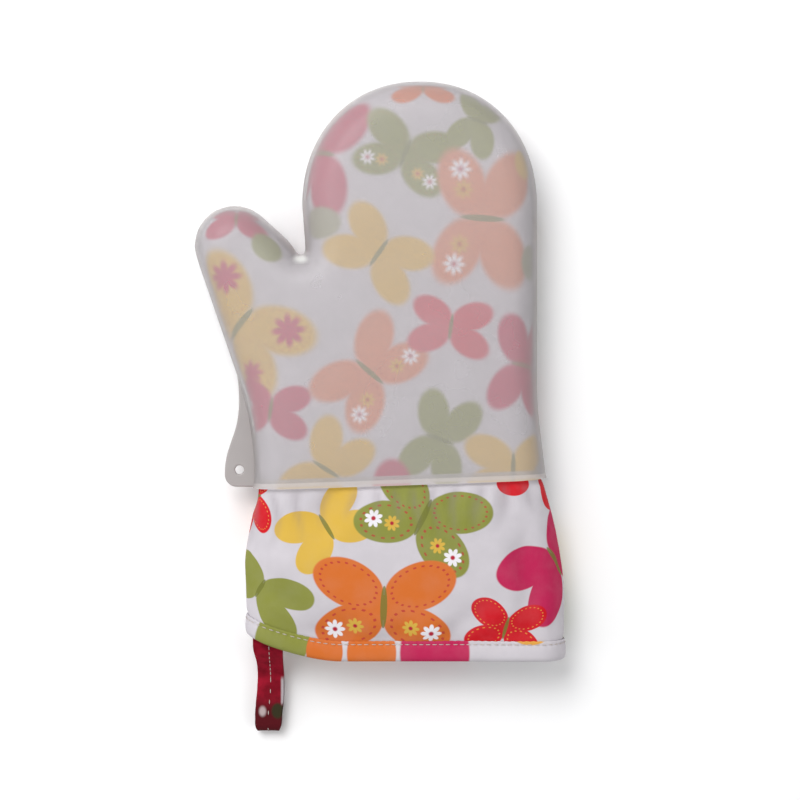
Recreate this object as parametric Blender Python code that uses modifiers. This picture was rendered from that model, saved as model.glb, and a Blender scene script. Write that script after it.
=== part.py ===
"""Oven mitt: a moulded silicone mitten shell over a padded, printed cotton liner with a bound cuff and a loop.

The mitt lies on its back. X runs across the hand, Y from the cuff to the fingertips and Z up through the
thickness. The shape is drawn as one outline in the seam plane, where the front and back halves meet. Every
layer is a pillow on that outline, drawn inwards by the layer's depth below the outside of the silicone.
"""

from math import acos, atan2, cos, pi, radians, sin, tan

import bmesh
import bpy
from mathutils import Vector
from mathutils.geometry import interpolate_bezier

# Overall sizes. Lengths are metres, measured from the bottom edge of the cuff and the centre of the hand.
MITT_LENGTH = 0.3000
MITT_THICKNESS = 0.0420
HAND_WIDTH = 0.1226
FINGER_DOME = 0.0647
DOME_SQUARENESS = 2.12
EDGE_ROUND = 0.0160

# Thumb
THUMB_TIP_REACH = 0.0963
THUMB_TIP_HEIGHT = 0.2144
THUMB_TIP_RADIUS = 0.0209
THUMB_BASE_REACH = 0.0942
THUMB_BASE_HEIGHT = 0.1440
NOTCH_RADIUS = 0.0026
NOTCH_HEIGHT = 0.2066
FOLD_FOOT_HEIGHT = 0.1330
FOLD_GAP = 0.0004

# Wrist and cuff
WRIST_RIGHT = 0.0655
WRIST_LEFT = 0.0863
WRIST_HEIGHT = 0.0970
CUFF_RIGHT = 0.0746
CUFF_LEFT = 0.0892
CUFF_BULGE_HEIGHT = 0.0450
CUFF_SIDE_HEIGHT = 0.0300
HEM_SWEEP = 0.0125
HEM_SWEEP_START = -0.0415
HEM_SWEEP_LENGTH = 0.0470
HEM_SWEEP_POWER = 1.6
HEM_SWEEP_LIMIT = 1.3

# How the outline's curves leave and reach their points
FLARE_HANDLE = 0.0280
WRIST_HANDLE_BELOW = Vector((0.0030, -0.0140))
WRIST_HANDLE_ABOVE = Vector((-0.0020, 0.0180))
SIDE_HANDLE = Vector((0, -0.0180))
THUMB_FOOT_PULL = 0.2
INNER_WRIST_HANDLE = Vector((0, 0.0160))
CUFF_BULGE = 0.0010
CUFF_BULGE_HANDLE = Vector((0, 0.0200))
NOTCH_RAY = radians(106)

# Layers, from the outside in
SHELL_WALL = 0.0018
SHELL_SPACE = 0.0012
PRINT_CLOTH = 0.0006
WADDING = 0.0035
LINING_CLOTH = 0.0006
LAYER_GAP = 0.0003
SEAM_GAP = 0.0003
WADDING_SEAM_GAP = 0.0016
SEAM_THREAD = 0.0005

# Shell rim, and the tab that the rim carries on the thumb side
RIM_HEIGHT = 0.0908
RIM_TILT = radians(2.0)
BOND_SETBACK = 0.0010
BOND_HEIGHT = 0.0040
TAB_THICKNESS = 0.0022
TAB_REACH = 0.0153
TAB_TOP_HEIGHT = 0.1500
TAB_CORNER_RADIUS = 0.0064
TAB_DROP = 0.0020
TAB_HOLE_RADIUS = 0.0023
TAB_HOLE_INSET = 0.0077
TAB_HOLE_RISE = 0.0089
TAB_TOP_SETOUT = 0.0015
TAB_TOP_HANDLE = 0.0080
TAB_NECK_HANDLE_ABOVE = 0.0060
TAB_NECK_HANDLE_BELOW = 0.0180
TAB_SIDE_HANDLE = 0.0160
TAB_ROOT = 0.0040

# Cuff binding and its two stitched threads
BINDING_HEIGHT = 0.0100
BINDING_CLOTH = 0.0008
STITCH_THREAD = 0.0006
STITCH_SETBACK = 0.0016

# Hanging loop
LOOP_WIDTH = 0.0140
LOOP_CLOTH = 0.0014
LOOP_CENTRE = -0.0785
LOOP_DROP = 0.0383
LOOP_BEND_RADIUS = 0.0037
LOOP_FLOOR_GAP = 0.0002
LOOP_ROOT_GAP = 0.0004
LOOP_ROOT_LENGTH = 0.0060
LOOP_FALL_START = 0.0015
LOOP_FALL = 0.0210
LOOP_FALL_SOFTNESS = 0.42
LOOP_THREAD = 0.0005

# Mesh fineness
EDGE_RINGS = 4
DOME_STEPS = 14
TIP_STEPS = 8
NOTCH_STEPS = 4
CURVE_STEPS = 5
SWEEP_STEPS = 8
LOOP_STEPS = 8
HOLE_SIDES = 16
SHARP_ANGLE = radians(50)

# Worked out from the sizes above
SEAM_PLANE = MITT_THICKNESS / 2
PRINT_DEPTH = SHELL_WALL + SHELL_SPACE
WADDING_DEPTH = PRINT_DEPTH + PRINT_CLOTH + LAYER_GAP
LINING_DEPTH = WADDING_DEPTH + WADDING + LAYER_GAP
INSIDE_DEPTH = LINING_DEPTH + LINING_CLOTH
BINDING_OUT = PRINT_DEPTH - LAYER_GAP - BINDING_CLOTH
BINDING_IN = INSIDE_DEPTH + LAYER_GAP + BINDING_CLOTH
HAND_HALF = HAND_WIDTH / 2
TAB_BOTTOM = RIM_HEIGHT - TAB_DROP
REACH = 0.2
RUN_OUT = 0.03


# The outline and the lines that cut it

def arc(centre, radius, start, end, steps):
    """Points along a circular arc, both ends included, angles in radians."""
    angles = [start + (end - start) * k / steps for k in range(steps + 1)]
    return [centre + radius * Vector((cos(a), sin(a))) for a in angles]


def bezier(start, start_handle, end_handle, end, steps=CURVE_STEPS):
    """Points along one Bezier piece, without its first point."""
    corners = [Vector(p) for p in (start, start_handle, end_handle, end)]
    return [p.to_2d() for p in interpolate_bezier(*corners, steps + 1)][1:]


def thumb_centre():
    return Vector((-THUMB_TIP_REACH, THUMB_TIP_HEIGHT))


def notch_centre():
    return Vector((-HAND_HALF - NOTCH_RADIUS, NOTCH_HEIGHT))


def fold_foot():
    """Where the thumb's fold leaves the outside edge of the mitt."""
    return Vector((-THUMB_BASE_REACH, FOLD_FOOT_HEIGHT))


def dome():
    """The fingertips, a slightly squared half ellipse from right to left."""
    power = 2 / DOME_SQUARENESS
    base = MITT_LENGTH - FINGER_DOME
    points = []
    for k in range(DOME_STEPS + 1):
        turn = pi * k / DOME_STEPS
        across = abs(cos(turn)) ** power * (1 if cos(turn) > 0 else -1)
        points.append(Vector((HAND_HALF * across, base + FINGER_DOME * sin(turn) ** power)))
    return points


def thumb():
    """The notch, the thumb tip and the foot of the thumb, down its outside edge."""
    tip = thumb_centre()
    notch = notch_centre()
    between = notch - tip
    inner = atan2(between.y, between.x) + acos((THUMB_TIP_RADIUS + NOTCH_RADIUS) / between.length)
    foot = Vector((-THUMB_BASE_REACH, THUMB_BASE_HEIGHT))
    down = foot - tip
    outer = 2 * pi + atan2(down.y, down.x) - acos(THUMB_TIP_RADIUS / down.length)
    return (
        arc(notch, NOTCH_RADIUS, 0, inner - pi, NOTCH_STEPS)
        + arc(tip, THUMB_TIP_RADIUS, inner, outer, TIP_STEPS)
        + [foot]
    )


def outline():
    """The mitt's outline in the seam plane at the outside of the silicone, running out past the cuff."""
    right = CUFF_RIGHT + PRINT_DEPTH
    left = -CUFF_LEFT - PRINT_DEPTH
    wrist = Vector((WRIST_RIGHT, WRIST_HEIGHT))
    side = Vector((HAND_HALF, THUMB_BASE_HEIGHT))
    points = [Vector((right, -RUN_OUT)), Vector((right, CUFF_SIDE_HEIGHT))]
    flare_start = (right, CUFF_SIDE_HEIGHT + FLARE_HANDLE)
    points += bezier(points[-1], flare_start, wrist + WRIST_HANDLE_BELOW, wrist)
    points += bezier(wrist, wrist + WRIST_HANDLE_ABOVE, side + SIDE_HANDLE, side, 3)
    points += dome()
    points += thumb()
    inner_wrist = Vector((-WRIST_LEFT, WRIST_HEIGHT))
    leaving = points[-1] + (points[-1] - points[-2]) * THUMB_FOOT_PULL
    points += bezier(points[-1], leaving, inner_wrist + INNER_WRIST_HANDLE, inner_wrist)
    bulge = Vector((left - CUFF_BULGE, CUFF_BULGE_HEIGHT))
    points += bezier(inner_wrist, inner_wrist - INNER_WRIST_HANDLE, bulge + CUFF_BULGE_HANDLE, bulge)
    points += [Vector((left, 0)), Vector((left, -RUN_OUT))]
    return points


def hem_height(x):
    """How far the cuff's bottom edge sweeps up at x: nothing on the right, most at the left corner."""
    share = max(0.0, HEM_SWEEP_START - x) / HEM_SWEEP_LENGTH
    return HEM_SWEEP * min(share, HEM_SWEEP_LIMIT) ** HEM_SWEEP_POWER


def hem_line(rise):
    """The cuff's bottom edge moved up by rise, from far left to far right."""
    step = HEM_SWEEP_LIMIT * HEM_SWEEP_LENGTH / SWEEP_STEPS
    swept = [HEM_SWEEP_START - step * (SWEEP_STEPS - k) for k in range(SWEEP_STEPS + 1)]
    return [Vector((x, hem_height(x) + rise)) for x in [-REACH] + swept + [REACH]]


def rim_line(rise):
    """The silicone's bottom edge moved up by rise, from far left to far right."""
    return [Vector((x, RIM_HEIGHT + rise + x * tan(RIM_TILT))) for x in (-REACH, REACH)]


def below(line):
    """The area under a line that runs left to right, anticlockwise."""
    return [Vector((-REACH, -REACH)), Vector((REACH, -REACH))] + line[::-1]


def above(line):
    """The area over a line that runs left to right, anticlockwise."""
    return line + [Vector((REACH, 2 * REACH)), Vector((-REACH, 2 * REACH))]


def thumb_area(gap):
    """The thumb's side of the fold, grown by gap towards the hand."""
    foot = fold_foot()
    notch = notch_centre()
    along = (foot - notch).normalized()
    shift = Vector((-along.y, along.x)) * gap
    start = notch + shift
    tip_side = Vector((cos(NOTCH_RAY), sin(NOTCH_RAY)))
    return [start, start + tip_side * REACH, start + Vector((-REACH, REACH)), foot + shift + along * REACH]


def tab_area():
    """The flat tab beside the rim, running into the mitt as far as the shell's inside."""
    tip = -WRIST_LEFT - TAB_REACH
    corner = Vector((tip + TAB_CORNER_RADIUS, TAB_BOTTOM + TAB_CORNER_RADIUS))
    side = Vector((tip, corner.y))
    top = Vector((-THUMB_BASE_REACH - TAB_TOP_SETOUT, TAB_TOP_HEIGHT))
    inside = -WRIST_LEFT + 2 * SHELL_WALL + TAB_ROOT
    points = [Vector((inside, TAB_TOP_HEIGHT)), top]
    neck = fold_foot()
    above_neck = neck + Vector((0, TAB_NECK_HANDLE_ABOVE))
    below_neck = neck - Vector((0, TAB_NECK_HANDLE_BELOW))
    points += bezier(top, top + Vector((TAB_TOP_SETOUT, -TAB_TOP_HANDLE)), above_neck, neck, 3)
    points += bezier(neck, below_neck, side + Vector((0, TAB_SIDE_HANDLE)), side)
    points += arc(corner, TAB_CORNER_RADIUS, pi, 1.5 * pi, NOTCH_STEPS)[1:]
    return points + [Vector((inside, TAB_BOTTOM))]


# Building blocks

def new_object(name, mesh, collection):
    item = bpy.data.objects.new(name, mesh)
    collection.objects.link(item)
    item.parent = frame
    return item


def as_mesh(shape, name):
    bmesh.ops.recalc_face_normals(shape, faces=shape.faces)
    mesh = bpy.data.meshes.new(name)
    shape.to_mesh(mesh)
    shape.free()
    return mesh


def outline_face(shape, points, height):
    face = shape.faces.new([shape.verts.new((p.x, p.y, height)) for p in points])
    face.normal_update()
    return face


def inset(shape, face, thickness, rise=0.0):
    """Draw a face inwards by thickness and lift it by rise. Returns the border faces."""
    return bmesh.ops.inset_region(
        shape, faces=[face], thickness=thickness, depth=rise, use_boundary=True, use_even_offset=True
    )["faces"]


def pillow(name, depth):
    """A closed pillow on the outline, depth below the outside of the silicone."""
    shape = bmesh.new()
    face = outline_face(shape, outline(), SEAM_PLANE)
    if depth > 0:
        bmesh.ops.delete(shape, geom=inset(shape, face, depth), context="FACES")
    edge = EDGE_ROUND - depth
    half = SEAM_PLANE - depth
    for ring in range(EDGE_RINGS):
        start = pi / 2 * ring / EDGE_RINGS
        end = pi / 2 * (ring + 1) / EDGE_RINGS
        inset(shape, face, edge * (cos(start) - cos(end)), half * (sin(end) - sin(start)))
    lower = bmesh.ops.duplicate(shape, geom=shape.faces[:])
    for vert in (v for v in lower["geom"] if isinstance(v, bmesh.types.BMVert)):
        vert.co.z = 2 * SEAM_PLANE - vert.co.z
    bmesh.ops.reverse_faces(shape, faces=[f for f in lower["geom"] if isinstance(f, bmesh.types.BMFace)])
    bmesh.ops.remove_doubles(shape, verts=shape.verts, dist=0.00001)
    return as_mesh(shape, name)


def plate(name, points, low, high):
    """A flat outline given a thickness from low to high."""
    shape = bmesh.new()
    face = outline_face(shape, points, low)
    top = bmesh.ops.extrude_face_region(shape, geom=[face])["geom"]
    bmesh.ops.translate(
        shape, verts=[v for v in top if isinstance(v, bmesh.types.BMVert)], vec=(0, 0, high - low)
    )
    return as_mesh(shape, name)


def cutter(name, mesh):
    item = new_object(name, mesh, cutters)
    item.hide_render = True
    item.display_type = "WIRE"
    return item


def block(name, points):
    """A cutter through the whole thickness of the mitt."""
    return cutter(name, plate(name, points, -MITT_THICKNESS, 2 * MITT_THICKNESS))


def cut(item, tool, operation="DIFFERENCE"):
    step = item.modifiers.new(tool.name, "BOOLEAN")
    step.operation = operation
    step.object = tool
    step.solver = "EXACT"


def part(name, shape, finish):
    """A named piece of the mitt, from a mesh or a curve."""
    item = new_object(name, shape, parts)
    item.data.materials.append(finish)
    if item.type == "MESH":
        item.data.shade_smooth()
        item.data.set_sharp_from_angle(angle=SHARP_ANGLE)
    return item


def material(name, colour, roughness):
    finish = bpy.data.materials.new(name)
    finish.use_nodes = True
    shader = finish.node_tree.nodes["Principled BSDF"]
    shader.inputs["Base Color"].default_value = (*colour, 1.0)
    shader.inputs["Roughness"].default_value = roughness
    shader.inputs["Metallic"].default_value = 0.0
    return finish


def inside_of(depth):
    """The pillow cutter at a depth, made once."""
    name = f"inside_{round(depth * 1e6)}"
    return bpy.data.objects.get(name) or cutter(name, pillow(name, depth))


# The mitt's own pieces

def silicone_shell():
    """The moulded shell with its tab, in two nodes that meet at the thumb's fold."""
    tab = cutter("tab_blank", plate(
        "tab_blank", tab_area(), SEAM_PLANE - TAB_THICKNESS / 2, SEAM_PLANE + TAB_THICKNESS / 2
    ))
    hole_at = Vector((-WRIST_LEFT - TAB_REACH + TAB_HOLE_INSET, TAB_BOTTOM + TAB_HOLE_RISE))
    hole = block("tab_hole", arc(hole_at, TAB_HOLE_RADIUS, 0, 2 * pi, HOLE_SIDES)[:-1])
    for side, area, operation in split_at_fold():
        shell = part(f"silicone_shell_{side}", pillow(f"silicone_shell_{side}", 0), silicone)
        cut(shell, tab, "UNION")
        cut(shell, inside_of(SHELL_WALL))
        cut(shell, hole)
        cut(shell, below_rim)
        cut(shell, area, operation)


def split_at_fold():
    return (("hand", thumb_wide, "DIFFERENCE"), ("thumb", thumb_exact, "INTERSECT"))


def padded_layer(name, depth, thickness, seam_gap, finish):
    """One layer of the liner: a front and a back panel, each split at the thumb's fold."""
    for face, away, towards in (("front", -1, "under"), ("back", 1, "over")):
        limit = SEAM_PLANE - away * seam_gap / 2
        low, high = (-MITT_THICKNESS, limit) if towards == "under" else (limit, 2 * MITT_THICKNESS)
        tool_name = f"{name}_{towards}_seam"
        half = cutter(tool_name, plate(tool_name, above(rim_line(-REACH)), low, high))
        for side, area, operation in split_at_fold():
            title = f"{name}_{face}_{side}"
            panel = part(title, pillow(title, depth), finish)
            cut(panel, inside_of(depth + thickness))
            cut(panel, half)
            cut(panel, below_panels)
            cut(panel, area, operation)


def band(name, outer, inner, under, over, finish):
    """A ring round the mitt between two depths, between an under cutter and an over cutter."""
    ring = part(name, pillow(name, outer), finish)
    cut(ring, inside_of(inner))
    cut(ring, under)
    cut(ring, over)
    return ring


def rim_bond():
    """The line of adhesive that holds the shell to the liner, just inside the rim."""
    over = block("over_bond", above(rim_line(BOND_SETBACK + BOND_HEIGHT)))
    under = block("under_bond", below(rim_line(BOND_SETBACK)))
    band("rim_bond", SHELL_WALL + LAYER_GAP, PRINT_DEPTH - LAYER_GAP, under, over, adhesive)


def cuff_binding():
    """The folded strip that wraps the cuff's raw edge, outside and in."""
    over = block("over_binding", above(hem_line(BINDING_HEIGHT)))
    under = block("under_binding", below(hem_line(0)))
    binding = band("cuff_binding", BINDING_OUT, BINDING_IN, under, over, printed_cotton)
    channel = cutter("binding_channel", pillow("binding_channel", BINDING_OUT + BINDING_CLOTH))
    cut(channel, inside_of(BINDING_IN - BINDING_CLOTH))
    cut(channel, block("under_channel", below(hem_line(BINDING_CLOTH))))
    cut(binding, channel)
    stitch = BINDING_HEIGHT - STITCH_SETBACK
    stitch_over = block("over_stitch", above(hem_line(stitch)))
    stitch_under = block("under_stitch", below(hem_line(stitch - STITCH_THREAD)))
    outside = BINDING_OUT - LAYER_GAP
    band("binding_top_thread", outside - STITCH_THREAD, outside, stitch_under, stitch_over, thread)
    inside = BINDING_IN + LAYER_GAP
    band("binding_bobbin_thread", inside, inside + STITCH_THREAD, stitch_under, stitch_over, thread)


def seam_threads():
    """The thread along the side seam, in the three runs that the fold leaves."""
    low, high = SEAM_PLANE - SEAM_THREAD / 2, SEAM_PLANE + SEAM_THREAD / 2
    depth = PRINT_DEPTH + PRINT_CLOTH + LAYER_GAP
    wrist_edge = -HAND_HALF - (CUFF_LEFT - HAND_HALF) / 2
    wrist_side = block("wrist_side", [
        Vector(p) for p in ((-REACH, -REACH), (wrist_edge, -REACH), (wrist_edge, 2 * REACH), (-REACH, 2 * REACH))
    ])
    core = cutter("seam_core", seam_plate("seam_core", depth + SEAM_THREAD, low - SEAM_GAP, high + SEAM_GAP))
    runs = (
        ("fingers", ((thumb_wide, "DIFFERENCE"), (wrist_side, "DIFFERENCE"))),
        ("thumb", ((thumb_exact, "INTERSECT"),)),
        ("wrist", ((thumb_wide, "DIFFERENCE"), (wrist_side, "INTERSECT"))),
    )
    for run, cuts in runs:
        strand = part(f"seam_thread_{run}", seam_plate(f"seam_thread_{run}", depth, low, high), thread)
        cut(strand, core)
        cut(strand, below_panels)
        for tool, operation in cuts:
            cut(strand, tool, operation)


def seam_plate(name, depth, low, high):
    """The outline drawn in by depth, as a plate from low to high."""
    shape = bmesh.new()
    face = outline_face(shape, outline(), low)
    bmesh.ops.delete(shape, geom=inset(shape, face, depth), context="FACES")
    top = bmesh.ops.extrude_face_region(shape, geom=shape.faces[:])["geom"]
    bmesh.ops.translate(
        shape, verts=[v for v in top if isinstance(v, bmesh.types.BMVert)], vec=(0, 0, high - low)
    )
    return as_mesh(shape, name)


def loop_leg(root, fall_start, floor, fall):
    """One leg of the loop from its root, along Y and Z, down to where it lies level."""
    start = Vector((fall_start, root))
    end = Vector((fall_start - fall, floor))
    handle = Vector((fall * LOOP_FALL_SOFTNESS, 0))
    straight = [Vector((fall_start + LOOP_ROOT_LENGTH, root)), start]
    return straight + bezier(start, start - handle, end + handle, end, LOOP_STEPS)


def loop_path():
    """The middle of the strap: down the upper leg, round the bend and back up the lower leg."""
    root = hem_height(LOOP_CENTRE) - LOOP_FALL_START
    low = LOOP_FLOOR_GAP + LOOP_CLOTH / 2
    apart = (LOOP_CLOTH + LOOP_ROOT_GAP) / 2
    bend = Vector((-LOOP_DROP + LOOP_CLOTH / 2 + LOOP_BEND_RADIUS, low + LOOP_BEND_RADIUS))
    upper = loop_leg(SEAM_PLANE + apart, root, low + 2 * LOOP_BEND_RADIUS, LOOP_FALL)
    lower = loop_leg(SEAM_PLANE - apart, root, low, LOOP_FALL + LOOP_BEND_RADIUS)
    return upper + arc(bend, LOOP_BEND_RADIUS, pi / 2, 1.5 * pi, LOOP_STEPS) + lower[::-1]


def hanging_loop():
    """A strap folded back on itself, both ends meeting the binding's underside at the side seam."""
    shape = bmesh.new()
    left = LOOP_CENTRE - LOOP_WIDTH / 2
    verts = [shape.verts.new((left, p.x, p.y)) for p in loop_path()]
    edges = [shape.edges.new(pair) for pair in zip(verts, verts[1:])]
    across = bmesh.ops.extrude_edge_only(shape, edges=edges)["geom"]
    bmesh.ops.translate(
        shape, verts=[v for v in across if isinstance(v, bmesh.types.BMVert)], vec=(LOOP_WIDTH, 0, 0)
    )
    loop = part("hanging_loop", as_mesh(shape, "hanging_loop"), loop_cotton)
    wall = loop.modifiers.new("cloth", "SOLIDIFY")
    wall.thickness = LOOP_CLOTH
    wall.offset = 0
    wall.use_even_offset = True
    cut(loop, block("over_loop", above(hem_line(-LAYER_GAP))))
    loop_topstitch()


def loop_topstitch():
    """The line of stitches down the middle of the upper leg."""
    lift = LOOP_CLOTH / 2 + LAYER_GAP + LOOP_THREAD / 2
    upper = loop_path()[2:LOOP_STEPS + 2]
    middle = []
    for before, point, after in zip(upper, upper[1:], upper[2:]):
        along = (after - before).normalized()
        middle.append(point + Vector((along.y, -along.x)) * lift)
    path = bpy.data.curves.new("loop_topstitch", "CURVE")
    path.dimensions = "3D"
    path.bevel_depth = LOOP_THREAD / 2
    path.bevel_resolution = 1
    path.use_fill_caps = True
    seam = path.splines.new("POLY")
    seam.points.add(len(middle) - 1)
    for knot, point in zip(seam.points, middle):
        knot.co = (LOOP_CENTRE, point.x, point.y, 1)
    part("loop_topstitch", path, thread)


for old in list(bpy.data.objects):
    bpy.data.objects.remove(old, do_unlink=True)

parts = bpy.data.collections.new("oven_mitt")
cutters = bpy.data.collections.new("cutters")
for group in (parts, cutters):
    bpy.context.scene.collection.children.link(group)

frame = bpy.data.objects.new("mitt_frame", None)
parts.objects.link(frame)
widest = CUFF_RIGHT + PRINT_DEPTH - (BINDING_OUT - LAYER_GAP - STITCH_THREAD)
leftmost = -THUMB_TIP_REACH - THUMB_TIP_RADIUS
frame.location = (-(widest + leftmost) / 2, -(MITT_LENGTH - LOOP_DROP) / 2, 0)

silicone = material("silicone", (0.78, 0.76, 0.77), 0.35)
printed_cotton = material("printed_cotton", (0.85, 0.80, 0.80), 0.85)
wadding = material("wadding", (0.90, 0.89, 0.86), 0.95)
lining_cotton = material("lining_cotton", (0.88, 0.87, 0.85), 0.85)
loop_cotton = material("loop_cotton", (0.40, 0.03, 0.06), 0.85)
thread = material("thread", (0.80, 0.74, 0.66), 0.7)
adhesive = material("adhesive", (0.86, 0.84, 0.82), 0.5)

below_rim = block("below_rim", below(rim_line(0)))
below_panels = block("below_panels", below(hem_line(BINDING_CLOTH + LAYER_GAP)))
thumb_wide = block("thumb_wide", thumb_area(FOLD_GAP))
thumb_exact = block("thumb_exact", thumb_area(0))

silicone_shell()
rim_bond()
padded_layer("print", PRINT_DEPTH, PRINT_CLOTH, SEAM_GAP, printed_cotton)
padded_layer("wadding", WADDING_DEPTH, WADDING, WADDING_SEAM_GAP, wadding)
padded_layer("lining", LINING_DEPTH, LINING_CLOTH, SEAM_GAP, lining_cotton)
seam_threads()
cuff_binding()
hanging_loop()
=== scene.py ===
"""Oven mitt: a frosted silicone mitten over a padded cotton liner printed with butterflies.

The mitt lies on its back. X runs across the hand, Y from the cuff to the fingertips and Z up. Every layer is
taken from one surface, the outside of the printed cotton, moved along its own normals. Lengths are metres.
"""

from math import acos, atan2, cos, pi, radians, sin, tan

import bmesh
import bpy
import numpy as np
from mathutils import Matrix, Vector
from mathutils.geometry import interpolate_bezier


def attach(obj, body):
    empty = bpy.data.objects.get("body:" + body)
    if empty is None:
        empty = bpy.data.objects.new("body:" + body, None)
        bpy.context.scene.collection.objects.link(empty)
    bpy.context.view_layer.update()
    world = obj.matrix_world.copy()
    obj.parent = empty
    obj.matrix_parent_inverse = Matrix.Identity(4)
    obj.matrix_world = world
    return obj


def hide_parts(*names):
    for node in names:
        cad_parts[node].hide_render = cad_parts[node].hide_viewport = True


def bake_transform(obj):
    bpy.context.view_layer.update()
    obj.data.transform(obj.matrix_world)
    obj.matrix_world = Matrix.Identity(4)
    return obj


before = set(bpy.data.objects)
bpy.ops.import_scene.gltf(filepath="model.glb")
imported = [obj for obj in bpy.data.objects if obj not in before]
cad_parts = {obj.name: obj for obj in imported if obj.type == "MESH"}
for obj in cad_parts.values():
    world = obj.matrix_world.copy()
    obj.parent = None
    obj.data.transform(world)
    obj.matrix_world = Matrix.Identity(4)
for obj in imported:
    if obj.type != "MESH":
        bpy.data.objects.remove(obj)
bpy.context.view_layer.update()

# Where the drawn shape's own origin, at the hem under the middle of the hand, lies in the row frame
ORIGIN = Vector((0.0203, -0.13085))

# Overall sizes
MITT_LENGTH = 0.3000
MITT_THICKNESS = 0.0420
SEAM = MITT_THICKNESS / 2
HAND_HALF = 0.0613
FINGER_DOME = 0.0647
DOME_SQUARENESS = 2.12
EDGE_ROUND = 0.0160

# Thumb
THUMB_TIP = Vector((-0.0963, 0.2144))
THUMB_TIP_RADIUS = 0.0209
THUMB_FOOT = Vector((-0.0942, 0.1440))
NOTCH = Vector((-0.0639, 0.2066))
NOTCH_RAY = radians(106)
FOLD_FOOT = Vector((-0.0942, 0.1330))
FOLD_ALONG = (FOLD_FOOT - NOTCH).normalized()
FOLD_NORMAL = Vector((FOLD_ALONG.y, -FOLD_ALONG.x, 0))
RAY_NORMAL = Vector((-sin(NOTCH_RAY), cos(NOTCH_RAY), 0))
CUTS = (FOLD_NORMAL, RAY_NORMAL)
CUT_REACH = 0.01
CROTCH = Vector((-0.0619, 0.2119))
CROTCH_RADIUS = 0.0024
CROTCH_TURN = radians(153)
THUMB_TURN = radians(46)
THUMB_HANDLE = 0.0090
CROTCH_HANDLE = 0.0080
WEB = Vector((-0.0612, 0.2045))
WEB_SIZE = Vector((0.0070, 0.0036))

# Wrist and cuff
WRIST = Vector((0.0655, 0.0970))
WRIST_LEFT = 0.0863
CUFF_RIGHT = 0.0746
CUFF_LEFT = 0.0892
CUFF_BULGE = Vector((-0.0010, 0.0450))
CUFF_SIDE_HEIGHT = 0.0300
HEM_SWEEP = 0.0125
HEM_SWEEP_START = -0.0415
HEM_SWEEP_LENGTH = 0.0470
HEM_SWEEP_POWER = 1.6
HEM_SWEEP_LIMIT = 1.3
HEM_SWEEP_LOW = 0.0110
HEM_SWEEP_TOP = 0.0650
RUN_OUT = 0.0300

# Layers. The printed cotton lies this far inside the silicone, and the others are measured inwards from it
PRINT_DEPTH = 0.0030
COTTON_ROUND = EDGE_ROUND - PRINT_DEPTH
COTTON_HALF = SEAM - PRINT_DEPTH
SHELL_OUT = -0.0030
SHELL_WALL = 0.0018
PRINT_CLOTH = 0.0006
WADDING_IN = 0.0009
WADDING = 0.0035
LINING_IN = 0.0047
LINING_CLOTH = 0.0006
BOND_OUT = -0.0009
BOND = 0.0006
CLOTH_END = 0.0011

# Shell rim and tab
RIM_HEIGHT = 0.0908
RIM_TILT = tan(radians(2.0))
BOND_LOW = 0.0010
BOND_HIGH = 0.0050
TAB_THICKNESS = 0.0022
TAB_TIP = -0.1016
TAB_BOTTOM = 0.0888
TAB_TOP = Vector((-0.0957, 0.1500))
TAB_CORNER = 0.0064
TAB_HOLE = Vector((-0.0939, 0.0977))
TAB_HOLE_RADIUS = 0.0023
TAB_ROUND = 0.0007
TAB_INSIDE = 0.0012

# How the cloth settles
CROWN = 0.0030
MOUTH_SAG = 0.0050
BACK_DROP = 0.0026
HEM_DROP = 0.45
LUMP = 0.0006
CUFF_CLOTH = dict(
    vertex_group_mass="held", quality=6, mass=0.15, tension_stiffness=20, compression_stiffness=20,
    shear_stiffness=8, bending_stiffness=0.3, use_pressure=True, uniform_pressure_force=3.0,
    shrink_min=-0.05, shrink_max=-0.05,
)
CUFF_FRAMES = 20
CUFF_HELD_TO = 0.0095
CUFF_FREE_FROM = 0.0130
CUFF_OUT = 0.0050
CUFF_SIDE_OUT = 0.0008
CUFF_IN = 0.0006
PRINT_LIFT = 0.0010
GATHER = 0.0028
GATHER_PITCH = 0.0115
GATHER_LENGTH = 0.0280
FLOOR_GAP = 0.0003

# Binding and stitches
BINDING_HEIGHT = 0.0100
STITCH_HEIGHT = 0.0084
STITCH_PITCH = 0.0035
STITCH_LENGTH = 0.0026
STITCH_RADIUS = 0.00025
RING_STEPS = 660
SEAM_STITCH_PITCH = 0.0030
LOOP_STITCH_PITCH = 0.0031
SHORT_STITCH = 0.0024
SEAM_INSIDE = 0.0010

# Hanging loop
LOOP_WIDTH = 0.0140
LOOP_CLOTH = 0.0014
LOOP_CENTRE = -0.0785
LOOP_DROP = 0.0413
LOOP_BEND_RADIUS = 0.0037
LOOP_FALL = 0.0210
LOOP_LEAN = 0.0014
LOOP_TIP_ROUND = 0.0045
LOOP_X = LOOP_CENTRE + ORIGIN.x
LOOP_HANG = (-0.036, -0.016)

# Studio
CAMERA_LENS = 85
CAMERA_PLACE = (0.0101, 0.0032, 1.0065)
SKY = 0.44

# Fineness, and the distance at which two points are one
CELL = 0.0020
TOUCHING = 0.00002
MM = 0.001


# Shape

def arc(centre, radius, start, end, steps):
    return [centre + radius * Vector((cos(a), sin(a))) for a in np.linspace(start, end, steps + 1)]


def bezier(start, first, second, end, steps):
    corners = [Vector(p).to_3d() for p in (start, first, second, end)]
    return [p.to_2d() for p in interpolate_bezier(*corners, steps + 1)][1:]


def finger_dome(steps):
    power = 2 / DOME_SQUARENESS
    points = []
    for turn in np.linspace(0, pi, steps + 1):
        across = abs(cos(turn)) ** power * (1 if cos(turn) > 0 else -1)
        rise = FINGER_DOME * max(0.0, sin(turn)) ** power
        points.append(Vector((HAND_HALF * across, MITT_LENGTH - FINGER_DOME + rise)))
    return points


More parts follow.
